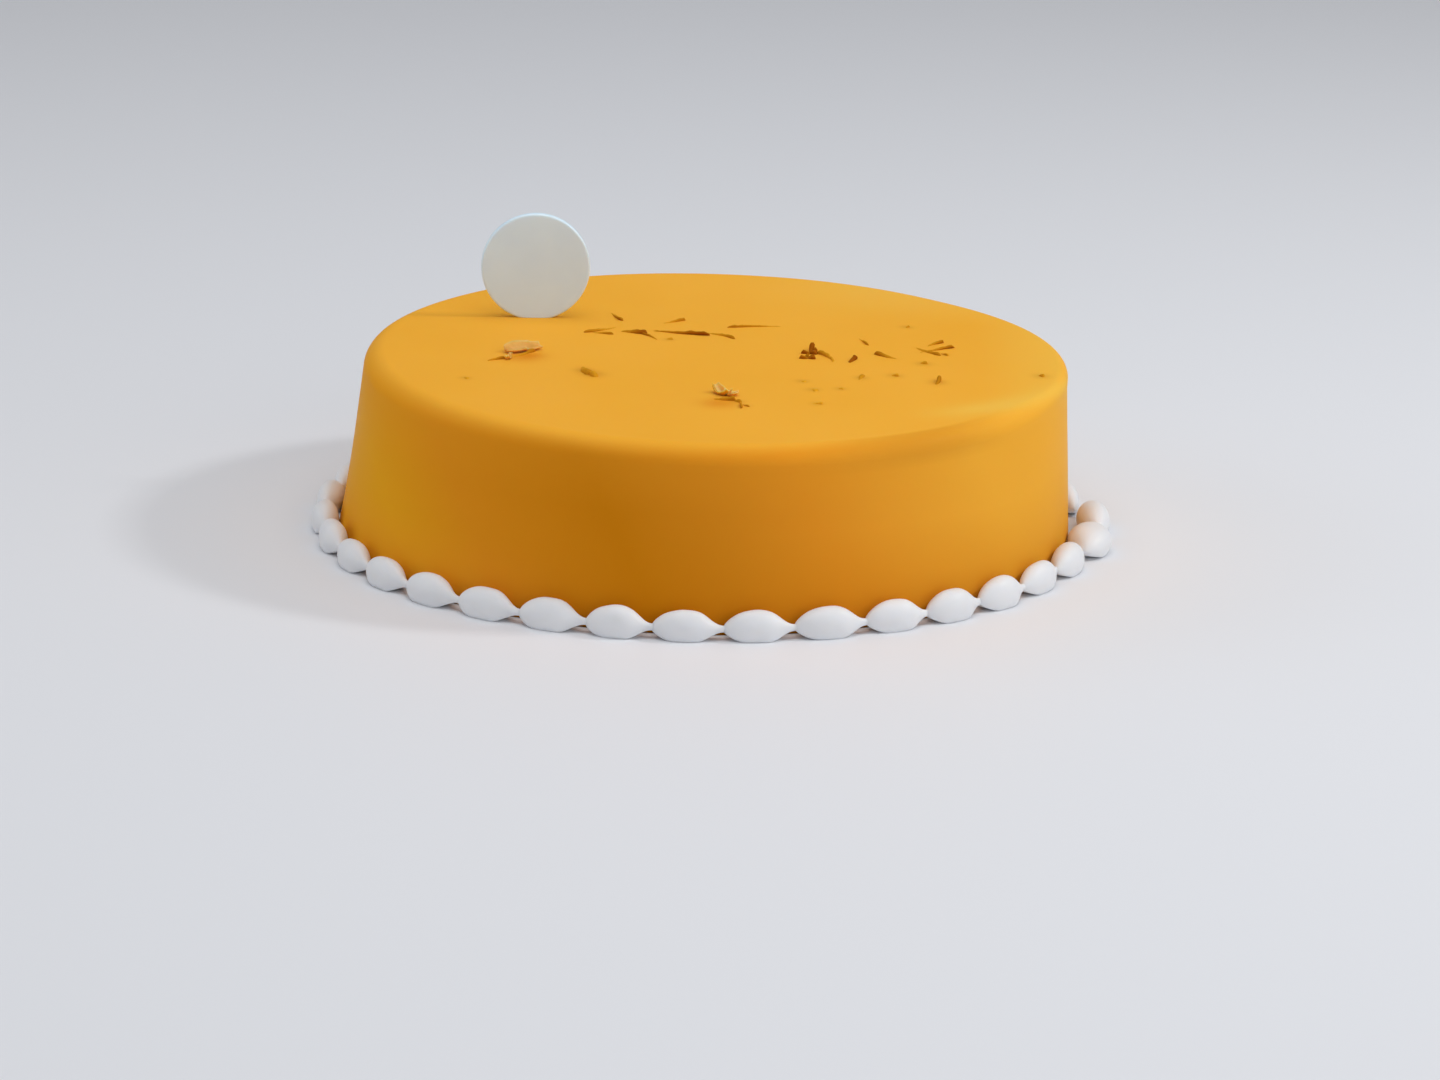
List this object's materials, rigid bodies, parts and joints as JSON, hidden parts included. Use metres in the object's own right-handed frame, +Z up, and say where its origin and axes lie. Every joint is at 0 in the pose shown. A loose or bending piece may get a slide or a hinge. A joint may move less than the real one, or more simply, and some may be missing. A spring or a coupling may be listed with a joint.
{
  "type": "saffron cake",
  "caption": "Round glazed saffron cake with saffron threads on top, a piped cream border at its foot and a blank standing disc.",
  "frame": {"origin": "middle of the cake's flat base", "axes": "+Z up, -Y towards the side that the picture shows in front, +X to its right"},
  "size_m": [0.2536, 0.2469, 0.0928],
  "materials": {
    "glaze": "smooth saffron-yellow glaze, softly glossy",
    "cream": "whipped white cream, soft sheen",
    "plaque": "plain white plaque, satin",
    "thread": "dried saffron threads, dark red-brown with amber ends, matt",
    "petal": "dried petals, peach and pale gold, matt"
  },
  "bodies": {
    "root": {"cake": "glaze", "topper_disc": "plaque", "bead_01": "cream", "bead_02": "cream", "bead_03": "cream", "bead_04": "cream", "bead_05": "cream", "bead_06": "cream", "bead_07": "cream", "bead_08": "cream", "bead_09": "cream", "bead_10": "cream", "bead_11": "cream", "bead_12": "cream", "bead_13": "cream", "bead_14": "cream", "bead_15": "cream", "bead_16": "cream", "bead_17": "cream", "bead_18": "cream", "bead_19": "cream", "bead_20": "cream", "bead_21": "cream", "bead_22": "cream", "bead_23": "cream", "bead_24": "cream", "bead_25": "cream", "bead_26": "cream", "bead_27": "cream", "bead_28": "cream", "bead_29": "cream", "bead_30": "cream", "bead_31": "cream", "bead_32": "cream", "bead_33": "cream", "bead_34": "cream"}
  },
  "joints": []
}
